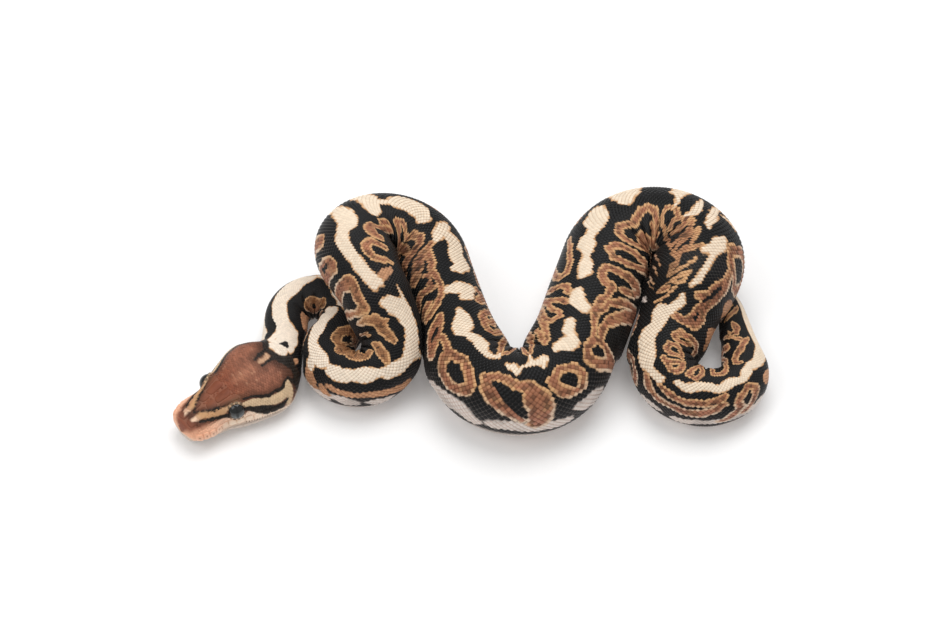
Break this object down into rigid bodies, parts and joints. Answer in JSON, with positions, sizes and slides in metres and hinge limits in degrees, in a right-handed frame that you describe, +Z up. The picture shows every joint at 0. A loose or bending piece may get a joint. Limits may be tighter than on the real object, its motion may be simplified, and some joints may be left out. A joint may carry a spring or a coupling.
{
  "type": "coiled ball python",
  "caption": "Young ball python lying at rest in loose coils on the floor, head forward, a still life-size museum model",
  "frame": {"origin": "on the floor under the middle of the bounding box", "axes": "+X from the head's side of the coils to the tail's side, +Y away from the viewer who sees the head at the lower left, +Z up"},
  "size_m": [0.1436, 0.0714, 0.0285],
  "materials": {
    "body_skin": "satin scales, black, brown and cream",
    "head_skin": "satin fine scales, reddish brown and cream",
    "eye": "wet gloss"
  },
  "bodies": {
    "root": {"head": "head_skin", "lower_jaw": "head_skin", "eye_left": "eye", "eye_right": "eye", "neck_1": "body_skin", "neck_2": "body_skin", "neck_3": "body_skin", "front_coil_1": "body_skin", "front_coil_2": "body_skin", "front_coil_3": "body_skin", "fore_trunk_1": "body_skin", "fore_trunk_2": "body_skin", "fore_trunk_3": "body_skin", "fore_trunk_4": "body_skin", "fore_trunk_5": "body_skin", "mid_trunk_1": "body_skin", "mid_trunk_2": "body_skin", "mid_trunk_3": "body_skin", "mid_trunk_4": "body_skin", "rear_trunk_1": "body_skin", "rear_trunk_2": "body_skin", "rear_trunk_3": "body_skin", "rear_trunk_4": "body_skin", "rear_coil_1": "body_skin", "rear_coil_2": "body_skin", "rear_coil_3": "body_skin", "tail_1": "body_skin", "tail_2": "body_skin"}
  },
  "joints": []
}
